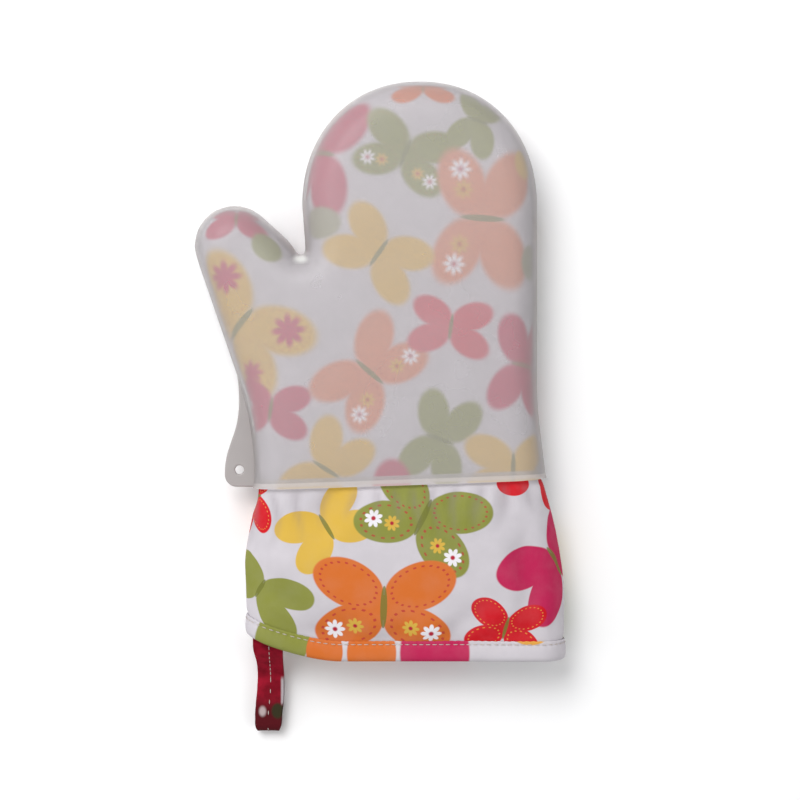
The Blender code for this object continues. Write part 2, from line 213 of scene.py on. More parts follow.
def mitt_outline():
    """The outline at the outside of the silicone, anticlockwise from below the right end of the hem."""
    right, left = CUFF_RIGHT + PRINT_DEPTH, -CUFF_LEFT - PRINT_DEPTH
    side = Vector((HAND_HALF, THUMB_FOOT.y))
    start = Vector((right, CUFF_SIDE_HEIGHT))
    points = [Vector((right, -RUN_OUT)), Vector((right, 0)), start]
    points += bezier(start, start + Vector((0, 0.028)), WRIST + Vector((0.003, -0.014)), WRIST, 14)
    points += bezier(WRIST, WRIST + Vector((-0.002, 0.018)), side - Vector((0, 0.018)), side, 12)
    points += [side + Vector((0, 0.03)), side + Vector((0, 0.06))]
    points += finger_dome(72)
    down = THUMB_FOOT - THUMB_TIP
    outer = 2 * pi + atan2(down.y, down.x) - acos(THUMB_TIP_RADIUS / down.length)
    points += arc(CROTCH, CROTCH_RADIUS, 0, -CROTCH_TURN, 12)
    rising = CROTCH_HANDLE * Vector((-sin(CROTCH_TURN), -cos(CROTCH_TURN)))
    thumb = arc(THUMB_TIP, THUMB_TIP_RADIUS, THUMB_TURN, outer, 44)
    leaving = thumb[0] + THUMB_HANDLE * Vector((sin(THUMB_TURN), -cos(THUMB_TURN)))
    points += bezier(points[-1], points[-1] + rising, leaving, thumb[0], 14) + thumb[1:]
    points += [points[-1].lerp(THUMB_FOOT, 0.5), THUMB_FOOT]
    wrist = Vector((-WRIST_LEFT, WRIST.y))
    leaving = THUMB_FOOT + (THUMB_FOOT - points[-3]) * 0.2
    handle = Vector((0, 0.016))
    points += bezier(THUMB_FOOT, leaving, wrist + handle, wrist, 16)
    bulge = Vector((left, 0)) + CUFF_BULGE
    points += bezier(wrist, wrist - handle, bulge + Vector((0, 0.020)), bulge, 14)
    return points + [Vector((left, 0)), Vector((left, -RUN_OUT))]


def hem_rise(x):
    """How far the cuff's bottom edge sweeps up, for x from the middle of the hand."""
    share = np.clip((HEM_SWEEP_START - x) / HEM_SWEEP_LENGTH, 0, HEM_SWEEP_LIMIT)
    return HEM_SWEEP * share ** HEM_SWEEP_POWER


def smooth(low, high, x):
    t = np.clip((x - low) / (high - low), 0, 1)
    return t * t * (3 - 2 * t)


def lumps(x, y):
    """Slow waves of a padded surface, from -1 to 1."""
    return (
        np.sin(61 * x + 37 * y + 1.1) * np.sin(53 * y - 29 * x + 0.4)
        + 0.5 * np.sin(113 * x - 71 * y + 2.0) * np.sin(97 * y + 41 * x)
    ) / 1.5


def settled(points):
    """How each point of the drawn shape moves as the mitt comes to rest."""
    x, y, z = points.T
    up = (z - SEAM) / SEAM
    top, back = np.clip(up, 0, 1), np.clip(-up, 0, 1)
    cuff = 1 - smooth(RIM_HEIGHT - 0.030, RIM_HEIGHT + 0.004, y)
    across = np.cos(np.clip((x + 0.004) / 0.085, -1, 1) * pi / 2)
    palm = smooth(0.05, 0.13, y) * (1 - smooth(0.20, 0.30, y))
    mouth = 1 - smooth(0.0, 0.065, y)
    move = np.zeros_like(points)
    move[:, 2] = (
        CROWN * top * across * palm
        + LUMP * top * lumps(x, y)
        - MOUTH_SAG * top * mouth * (0.5 + 0.5 * across)
        - BACK_DROP * back * cuff * (HEM_DROP + (1 - HEM_DROP) * smooth(BINDING_HEIGHT, 0.030, y))
    )
    move[:, 1] = hem_rise(x) * (1 - smooth(HEM_SWEEP_LOW, HEM_SWEEP_TOP, y))
    return move


# Mesh helpers

def new_object(name, mesh):
    item = bpy.data.objects.new(name, mesh)
    bpy.context.scene.collection.objects.link(item)
    return item


def mesh_of(shape, name, mesh=None):
    """The bmesh written to a new mesh, or back to the one it came from."""
    mesh = mesh or bpy.data.meshes.new(name)
    shape.to_mesh(mesh)
    shape.free()
    return mesh


def shape_of(mesh):
    shape = bmesh.new()
    shape.from_mesh(mesh)
    return shape


def applied(item):
    """The object's mesh with its modifiers applied; the object is removed."""
    graph = bpy.context.evaluated_depsgraph_get()
    mesh = bpy.data.meshes.new_from_object(item.evaluated_get(graph))
    name = item.name
    bpy.data.objects.remove(item)
    mesh.name = name
    return mesh


def numbers(items, field, width=1, kind=float):
    """One field of every item, as an array with a row for each item."""
    values = np.empty(len(items) * width, kind)
    items.foreach_get(field, values)
    return values.reshape(-1, width) if width > 1 else values


def coordinates(mesh):
    return numbers(mesh.vertices, "co", 3)


def corner_owners(mesh):
    """The vertex and the face of every face corner, and how many corners each face has."""
    sizes = numbers(mesh.polygons, "loop_total", kind=int)
    return numbers(mesh.loops, "vertex_index", kind=int), np.repeat(np.arange(len(sizes)), sizes), sizes


def mark_points(mesh, name, values):
    mesh.attributes.new(name, "FLOAT", "POINT").data.foreach_set("value", values.astype(np.float32))


def finish_piece(name, mesh, body, materials, angle=40):
    """An object from a mesh, with its materials and smooth shading, that rides on a body."""
    item = new_object(name, mesh)
    for material in materials:
        mesh.materials.append(material)
    mesh.shade_smooth()
    mesh.set_sharp_from_angle(angle=radians(angle))
    if "kept_normal" in mesh.attributes:
        keep_normals(mesh)
    if body:
        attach(item, body)
    return item


def keep_normals(mesh):
    """Shade a layer's two sides with the whole surface's normals, so that no line shows where it is split."""
    corners, owner, _ = corner_owners(mesh)
    flat = numbers(mesh.polygons, "normal", 3)[owner]
    kept = numbers(mesh.attributes["kept_normal"].data, "vector", 3)[corners]
    agree = (flat * kept).sum(1)
    chosen = np.where((np.abs(agree) > 0.7)[:, None], kept * np.sign(agree)[:, None], flat)
    mesh.normals_split_custom_set(chosen.tolist())
    mesh.attributes.remove(mesh.attributes["kept_normal"])


# The one surface that every layer is taken from

def pillow():
    """A closed pillow whose surface is the outside of the printed cotton."""
    shape = bmesh.new()
    face = shape.faces.new([shape.verts.new((p.x, p.y, SEAM)) for p in mitt_outline()])
    face.normal_update()
    border = bmesh.ops.inset_region(
        shape, faces=[face], thickness=PRINT_DEPTH, use_boundary=True, use_even_offset=True
    )["faces"]
    bmesh.ops.delete(shape, geom=border, context="FACES")
    turns = np.linspace(0, pi / 2, 10)
    for start, end in zip(turns, turns[1:]):
        bmesh.ops.inset_region(
            shape, faces=[face], thickness=COTTON_ROUND * (cos(start) - cos(end)),
            depth=COTTON_HALF * (sin(end) - sin(start)), use_boundary=True, use_even_offset=True
        )
    lower = bmesh.ops.duplicate(shape, geom=shape.faces[:])["geom"]
    for vert in (v for v in lower if isinstance(v, bmesh.types.BMVert)):
        vert.co.z = 2 * SEAM - vert.co.z
    bmesh.ops.reverse_faces(shape, faces=[f for f in lower if isinstance(f, bmesh.types.BMFace)])
    bmesh.ops.remove_doubles(shape, verts=shape.verts, dist=0.00001)
    bmesh.ops.recalc_face_normals(shape, faces=shape.faces)
    return mesh_of(shape, "pillow")


def even_cells(mesh, cell):
    item = new_object("even_cells", mesh)
    remesh = item.modifiers.new("cells", "REMESH")
    remesh.mode = "VOXEL"
    remesh.voxel_size = cell
    return applied(item)


def cut_plane(shape, point, normal, near=None):
    """Cut the faces that a plane crosses, or those of them that near() keeps."""
    faces = [f for f in shape.faces if near is None or near(f.calc_center_median())]
    verts = {v for f in faces for v in f.verts}
    edges = {e for f in faces for e in f.edges}
    place = (*point, 0) if len(point) == 2 else point
    bmesh.ops.bisect_plane(
        shape, geom=[*faces, *verts, *edges], dist=TOUCHING, plane_co=place, plane_no=normal
    )


def from_notch(p, direction):
    """How far a point is from the notch in a direction."""
    return (p.x - NOTCH.x) * direction.x + (p.y - NOTCH.y) * direction.y


def is_thumb(p):
    """Whether a point is past the fold and on the thumb's side of the ray that rises from the notch."""
    return from_notch(p, FOLD_NORMAL) > 0 and from_notch(p, RAY_NORMAL) > 0


def over_rim(x, y):
    """How far a place is above the shell's rim. It takes numbers, arrays and shader values."""
    return y - RIM_HEIGHT - x * RIM_TILT


def master_surface():
    """The cotton's outside, cut along every line where a layer ends."""
    shape = shape_of(even_cells(pillow(), CELL * (1)))
    every_way = dict(use_axis_x=True, use_axis_y=True, use_axis_z=True)
    for _ in range(3):
        bmesh.ops.smooth_vert(shape, verts=shape.verts, factor=0.5, **every_way)
    cut_plane(shape, (0, 0, SEAM), (0, 0, 1))
    for height in (0, CLOTH_END):
        cut_plane(shape, (0, height), (0, 1, 0))
    for rise in (0, BOND_LOW, BOND_HIGH):
        cut_plane(shape, (0, RIM_HEIGHT + rise), (-RIM_TILT, 1, 0))
    cut_plane(
        shape, NOTCH, FOLD_NORMAL, lambda p: p.x < NOTCH.x + 0.004 and abs(from_notch(p, FOLD_NORMAL)) < CUT_REACH
    )
    cut_plane(
        shape, NOTCH, RAY_NORMAL,
        lambda p: from_notch(p, FOLD_NORMAL) > 0 and abs(from_notch(p, RAY_NORMAL)) < CUT_REACH
    )
    bmesh.ops.dissolve_degenerate(shape, dist=TOUCHING / 2, edges=shape.edges)
    beyond = [f for f in shape.faces if f.calc_center_median().y < -0.002]
    bmesh.ops.delete(shape, geom=beyond, context="FACES")
    shape.normal_update()
    return mesh_of(shape, "master")


def cloth_place(points, normals):
    """Where a point of the cotton lies on the flat cloth it was cut from, seen from its own side."""
    turn = np.linspace(0, pi / 2, 60)
    steps = np.hypot(np.diff(COTTON_ROUND * np.cos(turn)), np.diff(COTTON_HALF * np.sin(turn)))
    to_top = np.concatenate([np.cumsum(steps[::-1])[::-1], [0]])
    t = np.arcsin(np.clip(np.abs(points[:, 2] - SEAM) / COTTON_HALF, 0, 1))
    extra = np.interp(t, turn, to_top) - COTTON_ROUND * np.cos(t)
    outward = normals[:, :2] / np.maximum(np.linalg.norm(normals[:, :2], axis=1, keepdims=True), 1e-6)
    return points[:, :2] + outward * extra[:, None]


def gathers(x, y):
    """How high the cotton stands in its small upright folds below the rim, and how deep the creases are, which
    sets how much painted shade they get.
    """
    below = -over_rim(x, y)
    length = GATHER_LENGTH + 0.010 * np.sin(x * 71 + 0.6)
    fade = smooth(0.0, 0.005, below) * (1 - smooth(0.008, length, below))
    wave = np.sin(2 * pi * (x + 0.0020 * np.sin(y * 160 + x * 90)) / GATHER_PITCH + 1.4 * np.sin(x * 57))
    height = GATHER * (0.65 + 0.35 * np.sin(x * 43 + 1.0)) * ((0.5 + 0.5 * wave) ** 2 - 0.15)
    return fade * height, fade * (0.5 - 0.5 * wave) ** 3


def puffed_cuff(mesh, move):
    """How the cuff's cotton billows between the rim and the binding, from a short cloth simulation."""
    points = coordinates(mesh)
    over = over_rim(points[:, 0], points[:, 1])
    shape = shape_of(mesh)
    source = shape.verts.layers.int.new("source")
    for vert, spot in zip(shape.verts, points + move):
        vert[source] = vert.index
        vert.co = spot
    shape.faces.ensure_lookup_table()
    far = [f for f in shape.faces if max(over[v.index] for v in f.verts) > 0.012]
    bmesh.ops.delete(shape, geom=far, context="FACES")
    cuff = new_object("cuff_cloth", mesh_of(shape, "cuff_cloth"))
    index = numbers(cuff.data.attributes["source"].data, "value", kind=int)
    start = coordinates(cuff.data)
    held = cuff.vertex_groups.new(name="held")
    for k, i in enumerate(index):
        if over[i] > -0.0005 or points[i, 1] < CUFF_HELD_TO:
            held.add([k], 1.0, "REPLACE")
    cloth = cuff.modifiers.new("cloth", "CLOTH")
    for name, value in CUFF_CLOTH.items():
        setattr(cloth.settings, name, value)
    cloth.settings.effector_weights.gravity = 0
    cloth.collision_settings.use_collision = False
    cloth.collision_settings.use_self_collision = False
    cloth.point_cache.frame_start = 1
    cloth.point_cache.frame_end = CUFF_FRAMES
    for now in range(1, CUFF_FRAMES + 1):
        bpy.context.scene.frame_set(now)
    graph = bpy.context.evaluated_depsgraph_get()
    shift = coordinates(cuff.evaluated_get(graph).data) - start
    bpy.context.scene.frame_set(1)
    bpy.data.objects.remove(cuff)
    normals = numbers(mesh.vertex_normals, "vector", 3)[index]
    out = (shift * normals).sum(1)
    most = CUFF_SIDE_OUT + (CUFF_OUT - CUFF_SIDE_OUT) * np.abs(normals[:, 2]) ** 2
    shift += normals * (np.clip(out, -CUFF_IN, most) - out)[:, None]
    puff = np.zeros_like(points)
    puff[index] = shift
    free = smooth(CUFF_HELD_TO, CUFF_FREE_FROM, points[:, 1]) * (1 - smooth(-0.0025, 0.0, over))
    return evened(mesh, puff, 8) * free[:, None]


def evened(mesh, values, rounds):
    """The values of a mesh's points, each averaged with its neighbours' a few times."""
    ends = numbers(mesh.edges, "vertices", 2, int)
    a, b = ends.T
    count = np.bincount(ends.ravel(), minlength=len(values))[:, None]
    for _ in range(rounds):
        total = np.zeros_like(values)
        np.add.at(total, a, values[b])
        np.add.at(total, b, values[a])
        values = (values + total / count) / 2
    return values


def even_normals(mesh, normals):
    """Normals without the noise of the thin faces beside the cuts."""
    normals = evened(mesh, normals, 4)
    return normals / np.linalg.norm(normals, axis=1, keepdims=True)


class Layers:
    """The one surface, how it settles, and the way to take a layer from it."""

    def __init__(self, mesh):
        self.mesh = mesh
        self.points = coordinates(mesh)
        self.normals = even_normals(mesh, numbers(mesh.vertex_normals, "vector", 3))
        self.move = settled(self.points)
        self.over = over_rim(self.points[:, 0], self.points[:, 1])
        fold, self.crease_shade = gathers(self.points[:, 0], self.points[:, 1])
        self.puff = self.normals * fold[:, None]
        self.puff += puffed_cuff(mesh, self.move)
        self.cloth = cloth_place(self.points, self.normals)
        self.centres = [Vector(c) for c in numbers(mesh.polygons, "center", 3)]

    def take(self, name, keep, offset, wall, puffed=0.0, lift=0.0, sided=False):
        """A piece of the surface, moved inwards by offset and given a wall. Faces are kept by their centre.

        lift brings the piece closer to the silicone, where the silicone covers it. sided gives the inner wall
        and the cut edges the second material. The second result says which point each vertex came from."""
        shape = shape_of(self.mesh)
        shape.faces.ensure_lookup_table()
        drop = [f for f, c in zip(shape.faces, self.centres) if not keep(c)]
        inwards = offset - lift * smooth(BOND_HIGH, BOND_HIGH + 0.006, self.over)
        place = self.points + self.move + self.puff * puffed - self.normals * inwards[:, None]
        place[:, 2] = np.maximum(place[:, 2], 0.0 if offset < 0 else FLOOR_GAP + offset * 0.5)
        place[:, :2] += np.array(ORIGIN)
        source = shape.verts.layers.int.new("source")
        for vert, spot in zip(shape.verts, place):
            vert[source] = vert.index
            vert.co = spot
        shape.normal_update()
        kept = shape.verts.layers.float_vector.new("kept_normal")
        normals = even_normals(self.mesh, np.array([v.normal for v in shape.verts]))
        for vert, normal in zip(shape.verts, normals):
            vert[kept] = normal
        bmesh.ops.delete(shape, geom=drop, context="FACES")
        shape.normal_update()
        item = new_object(name, mesh_of(shape, name))
        solid = item.modifiers.new("wall", "SOLIDIFY")
        solid.thickness = wall
        solid.offset = -1
        outer = len(item.data.polygons)
        mesh = applied(item)
        if sided:
            inner = np.arange(len(mesh.polygons)) >= outer
            mesh.polygons.foreach_set("material_index", inner.astype(np.int32))
        return mesh, numbers(mesh.attributes["source"].data, "value", kind=int)


# Shader maths

class Maths:
    """A shader value that Python's operators work on."""

    def __init__(self, shader, socket):
        self.shader, self.socket = shader, socket

    def of(self, operation, *others):
        return self.shader.maths(operation, self, *others)

    def __add__(self, other):
        return self.of("ADD", other)

    def __sub__(self, other):
        return self.of("SUBTRACT", other)

    def __mul__(self, other):
        return self.of("MULTIPLY", other)

    def __truediv__(self, other):
        return self.of("DIVIDE", other)

    def __rsub__(self, other):
        return self.shader.maths("SUBTRACT", other, self)

    def __neg__(self):
        return self * -1.0

    __radd__ = __add__
    __rmul__ = __mul__

    def __abs__(self):
        return self.of("ABSOLUTE")

    def __pow__(self, other):
        return self.of("POWER", other)

    def __gt__(self, other):
        return self.of("GREATER_THAN", other)

    def clamped(self):
        return self.of("MAXIMUM", 0.0).of("MINIMUM", 1.0)

    def fade(self, low, high):
        """0 below low, 1 above high, smooth between."""
        limits = {"Value": self, "From Min": low, "From Max": high}
        return self.shader.node("ShaderNodeMapRange", {"interpolation_type": "SMOOTHSTEP"}, limits)


class Shader:
    """A material and the few ways that its nodes are made."""

    def __init__(self, name):
        self.material = bpy.data.materials.new(name)
        self.material.use_nodes = True
        self.tree = self.material.node_tree
        self.surface = self.tree.nodes["Principled BSDF"]

    def put(self, socket, value):
        if isinstance(value, Maths):
            self.tree.links.new(value.socket, socket)
        elif isinstance(value, bpy.types.NodeSocket):
            self.tree.links.new(value, socket)
        elif value is not None:
            if socket.type == "RGBA" and len(value) == 3:
                value = (*value, 1.0)
            socket.default_value = value

    def node(self, kind, settings=None, inputs=(), output=0):
        """A node of any kind: its settings first, then its inputs by name or number."""
        node = self.tree.nodes.new(kind)
        for key, value in (settings or {}).items():
            setattr(node, key, value)
        for key, value in dict(inputs).items():
            self.put(node.inputs[key], value)
        return Maths(self, node.outputs[output])

    def maths(self, operation, *values):
        return self.node("ShaderNodeMath", {"operation": operation}, enumerate(values))

    def mix(self, share, first, second):
        """A colour between two, share from 0 to 1."""
        return self.node("ShaderNodeMix", {"data_type": "RGBA"}, {0: share, 6: first, 7: second}, 2).socket

    def attribute(self, name, output="Fac"):
        return self.node("ShaderNodeAttribute", {"attribute_name": name}, output=output)

    def split(self, vector):
        """The x, y and z of a vector."""
        outputs = self.node("ShaderNodeSeparateXYZ", None, {0: vector}).socket.node.outputs
        return [Maths(self, socket) for socket in outputs]

    def place(self):
        """The object's coordinates, as x, y, z and the vector itself."""
        vector = self.node("ShaderNodeTexCoord", output="Object")
        return *self.split(vector), vector

    def noise(self, vector, scale, detail=2.0):
        return self.node("ShaderNodeTexNoise", None, {"Vector": vector, "Scale": scale, "Detail": detail})

    def weave(self, x, y, scale=9000.0):
        """Threads that cross, from -1 to 1."""
        return self.maths("SINE", x * scale) * self.maths("SINE", y * scale)

    def bump(self, height, strength, distance):
        inputs = {"Height": height, "Strength": strength, "Distance": distance}
        return self.node("ShaderNodeBump", None, inputs)

    def set(self, **values):
        """Inputs of the surface shader by name, with _ for a space."""
        for key, value in values.items():
            self.put(self.surface.inputs[key.replace("_", " ")], value)
        return self.material


# Colours, as seen in even white light
GROUND = (0.560, 0.530, 0.565)
MAGENTA = (0.47, 0.018, 0.085)
RED = (0.56, 0.008, 0.016)
ORANGE = (0.61, 0.150, 0.028)
PINK_ORANGE = (0.62, 0.23, 0.12)
YELLOW = (0.62, 0.40, 0.065)
GREEN = (0.235, 0.250, 0.052)
GREY_GREEN = (0.32, 0.31, 0.20)
OLIVE = (0.16, 0.17, 0.035)
WHITE = (0.78, 0.76, 0.80)
CRIMSON = (0.56, 0.030, 0.070)
PALE_ORANGE = (0.66, 0.33, 0.06)
HEART = (0.42, 0.02, 0.04)
DASH_YELLOW = (0.70, 0.30, 0.06)
# Painted shade for the creases of the cuff's gathers, not a colour of the cloth
CREASE_SHADE = (0.20, 0.17, 0.19)
CLEAR = (0.72, 0.70, 0.71)
LONE, PLAIN, DASHED, FLOWERED, BLOOMING = 0.0, 0.12, 0.5, 0.9, 1.2
PRINT_LAYERS = ("low", "middle", "high")

# Butterflies: x and y in millimetres in the row frame, which way the head points in degrees, half the wing
# span in millimetres, the ink and the style. A lone wing is one oval.
FRONT_BUTTERFLIES = (
    (-32, 131, -17, 33, MAGENTA, PLAIN), (13, 130, 68, 26, GREEN, FLOWERED), (50, 146, -20, 19, GREEN, PLAIN),
    (22, 166, -90, 17, ORANGE, PLAIN), (53, 96, -4, 37, PINK_ORANGE, FLOWERED),
    (-1, 78, 235, 27, YELLOW, PLAIN), (-72, 42, 50, 38, YELLOW, BLOOMING), (-74, 97, -90, 18, MAGENTA, PLAIN),
    (-58, 81.5, 49, 9, GREEN, LONE), (-56, -2, 262, 21, MAGENTA, PLAIN),
    (-6, 18, 139, 30, PINK_ORANGE, FLOWERED), (36, 40, 262, 22, CRIMSON, PLAIN),
    (74, 21, 170, 26, MAGENTA, PLAIN), (31, -17, -20, 25, GREEN, PLAIN), (-28, -32, 147, 26, YELLOW, PLAIN),
    (68, -31, 90, 26, YELLOW, PLAIN), (6, -40, 0, 13, MAGENTA, LONE), (-31, 94, 90, 11, GREY_GREEN, LONE),
    (75, 125, 0, 8, YELLOW, LONE), (79, 74, 0, 9, GREY_GREEN, LONE),
)
CUFF_BUTTERFLIES = (
    (-68, -46, 0, 20, RED, DASHED), (-27, -61, 124, 25, YELLOW, PLAIN), (22, -56, 64, 33, GREEN, FLOWERED),
    (-62, -100, 65, 28, GREEN, PLAIN), (2, -101, 88, 37, ORANGE, FLOWERED), (68, -39.5, 90, 8.5, RED, LONE),
    (90, -44, 20, 9, RED, LONE), (92, -80, 130, 33, MAGENTA, PLAIN), (64, -113, 80, 21, RED, DASHED),
)
BACK_BUTTERFLIES = (
    (-10, 140, 70, 26, ORANGE, FLOWERED), (44, 134, 130, 24, MAGENTA, PLAIN), (14, 98, 10, 26, GREEN, PLAIN),
    (62, 92, 60, 24, YELLOW, FLOWERED), (-38, 88, 160, 20, RED, DASHED), (-20, 50, 110, 28, MAGENTA, DASHED),
    (30, 52, 30, 26, ORANGE, PLAIN), (74, 48, 140, 22, GREEN, PLAIN), (-64, 42, 60, 24, GREEN, FLOWERED),
    (-76, 92, 20, 16, YELLOW, PLAIN), (-50, -2, 100, 24, YELLOW, PLAIN), (2, 6, 170, 26, RED, PLAIN),
    (50, 8, 80, 26, MAGENTA, PLAIN), (86, 2, 0, 20, ORANGE, PLAIN), (-28, -38, 40, 25, GREEN, PLAIN),
    (20, -36, 100, 25, YELLOW, FLOWERED), (66, -34, 150, 25, GREEN, PLAIN), (-64, -62, 90, 24, ORANGE, DASHED),
    (-14, -78, 150, 27, MAGENTA, FLOWERED), (36, -80, 20, 27, ORANGE, PLAIN), (80, -74, 70, 25, YELLOW, PLAIN),
    (-48, -108, 10, 22, RED, PLAIN), (6, -118, 80, 25, YELLOW, PLAIN), (54, -118, 130, 24, MAGENTA, DASHED),
    (94, -114, 30, 18, GREEN, PLAIN),
)
BINDING_BUTTERFLIES = (
    (-50, -119, -20, 19, GREEN, LONE), (-28.7, -126, 0, 12.6, ORANGE, LONE), (-4.5, -127, 0, 17, ORANGE, LONE),
    (28, -127, 0, 24, MAGENTA, LONE), (77, -114.5, 90, 11, PALE_ORANGE, LONE),
)


def butterfly(shader, u, v, softness, style):
    """How much of a point the wings, dashes, outer and inner flowers, hearts, blooms and the body cover.

    u runs across the wings and v towards the head, both in half wing spans."""
    side = abs(u)
    drawn = style.fade(0.04, 0.08)

    def oval(cx, cy, rx, ry, tilt):
        x, y = side - cx, v - cy
        c, s = cos(radians(tilt)), sin(radians(tilt))
        a, b = (x * c + y * s) * (1 / rx), (y * c - x * s) * (1 / ry)
        return (a * a + b * b) ** 0.5, a, b

    def cover(field):
        return (1.0 + softness - field).fade(0.0, softness * 2.0)

    def flower(cx, cy, radius):
        x, y = side - cx, v - cy
        away = (x * x + y * y) ** 0.5
        turn = shader.maths("COSINE", shader.maths("ARCTAN2", y, x) * 8.0) * 0.5 + 0.5
        rays = turn ** 0.4 * (0.5 * radius) + 0.5 * radius
        soft = softness * 0.35
        return (rays - away).fade(-soft, soft), (0.24 * radius - away).fade(-soft, soft)

    def either(first, *others):
        for other in others:
            first = first.of("MAXIMUM", other)
        return first

    def dashed(field, where, width, a, b, count):
        """Dashes along the inside of an oval."""
        turn = shader.maths("ARCTAN2", b, a) * count
        return (width - abs(field - where)).fade(0.0, 0.02) * shader.maths("SINE", turn)

    blooming = style.fade(1.0, 1.1)
    flowered = style.fade(0.65, 0.75) * (1.0 - blooming)
    upper, ua, ub = oval(0.48, 0.29, 0.50, 0.32, 24)
    lower, la, lb = oval(0.47, -0.33, 0.49, 0.32, -24)
    waist, _, _ = oval(0.10, -0.02, 0.22, 0.20, 0)
    body, _, _ = oval(0.0, -0.02, 0.045, 0.30, 0)
    wings = either(cover(upper), cover(lower), cover(waist)) * drawn
    single = cover((u * u + v * v * 1.8) ** 0.5) * (1.0 - drawn)
    rows = either(dashed(upper, 0.80, 0.045, ua, ub, 22.0), dashed(lower, 0.78, 0.05, la, lb, 16.0))
    dashes = rows.fade(0.15, 0.5) * style.fade(0.2, 0.35)
    outer, outer_heart = flower(0.66, -0.37, 0.14)
    inner, inner_heart = flower(0.38, -0.31, 0.12)
    large, _ = flower(0.56, 0.36, 0.22)
    small, _ = flower(0.54, -0.40, 0.16)
    hearts = either(outer_heart, inner_heart) * flowered
    blooms = either(large, small) * blooming
    flowers = outer * flowered, inner * flowered
    return either(wings, single), dashes, *flowers, hearts, blooms, cover(body) * drawn


def printed_cotton(name, under_silicone):
    """Plain weave with the nearest three butterflies printed on it, softer where the silicone covers it."""
    shader = Shader(name)
    x, y, _, vector = shader.place()
    over = over_rim(x - ORIGIN.x, y - ORIGIN.y)
    under = over.fade(-0.0002, 0.0010) if under_silicone else x * 0.0
    softness = 0.035 + under * 0.13
    wash = shader.noise(vector, 90.0, 3.0)
    colour = shader.mix(wash.fade(0.35, 0.75), [c * 0.97 for c in GROUND], [c * 1.03 for c in GROUND])
    for layer in PRINT_LAYERS:
        u, v, _ = shader.split(shader.node("ShaderNodeUVMap", {"uv_map": f"motif_{layer}"}))
        ink = shader.attribute(f"ink_{layer}", "Color").socket
        style = shader.attribute(f"ink_{layer}", "Alpha")
        wings, dashes, outer, inner, hearts, blooms, body = butterfly(shader, u, v, softness, style)
        dash_ink = shader.mix(style.fade(0.6, 0.7), DASH_YELLOW, HEART)
        marks = (
            (dashes * (0.7 - under * 0.5), dash_ink), (outer, WHITE), (inner, YELLOW), (hearts, HEART),
            (blooms, MAGENTA),
        )
        shade = shader.mix(wash.fade(0.3, 0.8) * 0.05, ink, GROUND)
        for cover, mark in marks:
            shade = shader.mix(cover, shade, mark)
        colour = shader.mix(wings, colour, shade)
        colour = shader.mix(body * 0.85, colour, OLIVE)
    # Painted shade: the cotton darkens in the creases of the gathers below the rim
    colour = shader.mix(shader.attribute("crease_shade") * 0.30, colour, CREASE_SHADE)
    normal = shader.bump(shader.weave(x, y) + shader.noise(vector, 900.0) * 1.5, 0.16, 0.0003)
    return shader.set(Base_Color=colour, Roughness=0.86, Normal=normal, Specular_IOR_Level=0.12)


def silicone():
    """Frosted, see-through silicone. Its edge, where more of it is in the way, is cloudier; its colour there is
    painted light and shade, a light grey where the edge faces along the hand and a dark grey where it faces
    sideways. A painted highlight whitens the thumb's web.
    """
    shader = Shader("frosted_silicone")
    x, y, _, vector = shader.place()
    lip = 1.0 - over_rim(x - ORIGIN.x, y - ORIGIN.y).fade(0.0026, 0.0034)
    edge, web, side = shader.attribute("edge"), shader.attribute("web"), shader.attribute("side")
    mottle = shader.noise(vector, 35.0, 3.0)
    colour = shader.mix(lip * 0.6, (0.510, 0.488, 0.495), (0.80, 0.73, 0.70))
    # Painted light and shade on the edge: light grey where it faces along the hand, dark grey where it faces
    # sideways
    colour = shader.mix(edge * 0.9, colour, shader.mix(side, (0.64, 0.60, 0.605), (0.34, 0.305, 0.30)))
    # Painted highlight on the thumb's web; the web's silicone is also thicker, so it is less clear
    colour = shader.mix(web * 0.8, colour, (0.80, 0.81, 0.78))
    alpha = 0.40 + edge ** 1.6 * 0.46 + lip * 0.12 + web * 0.4 + (mottle - 0.5) * 0.07
    normal = shader.bump(shader.noise(vector, 700.0, 2.0), 0.05, 0.0005)
    return shader.set(Base_Color=colour, Alpha=alpha.clamped(), Roughness=0.40, Normal=normal)


def clear_silicone(name, alpha, specular):
    """For the inner wall, as the outer wall carries the cloudiness, and for the cut between the two pieces."""
    return Shader(name).set(Base_Color=CLEAR, Roughness=0.6, Alpha=alpha, Specular_IOR_Level=specular)


def silicone_tab():
    shader = Shader("silicone_tab")
    *_, vector = shader.place()
    # The tab's grey is partly the silicone's own, partly painted shade for the floor's shadow under it
    colour = shader.mix(shader.noise(vector, 60.0), (0.36, 0.33, 0.325), (0.42, 0.39, 0.385))
    return shader.set(Base_Color=colour, Roughness=0.45, Alpha=0.9)


def plain_cloth(name, low, high, scale, roughness=0.88, bump=0.2, alpha=1.0):
    """Cloth or felt of one colour with a fine grain."""
    shader = Shader(name)
    x, y, z, vector = shader.place()
    colour = shader.mix(shader.noise(vector, 120.0, 3.0).fade(0.3, 0.7), low, high)
    grain = shader.weave(x, y + z, scale) + shader.noise(vector, scale * 0.2)
    normal = shader.bump(grain, bump, 0.0003)
    return shader.set(Base_Color=colour, Roughness=roughness, Alpha=alpha, Normal=normal)


def thread_material():
    shader = Shader("stitch_thread")
    x, y, z, _ = shader.place()
    twist = shader.maths("SINE", (x + y + z) * 9000.0)
    colour = shader.mix(twist.fade(-0.6, 0.6), (0.40, 0.34, 0.31), (0.58, 0.52, 0.48))
    return shader.set(Base_Color=colour, Roughness=0.65, Normal=shader.bump(twist, 0.3, 0.0002))


# The print's own map: each face takes the three butterflies nearest to it

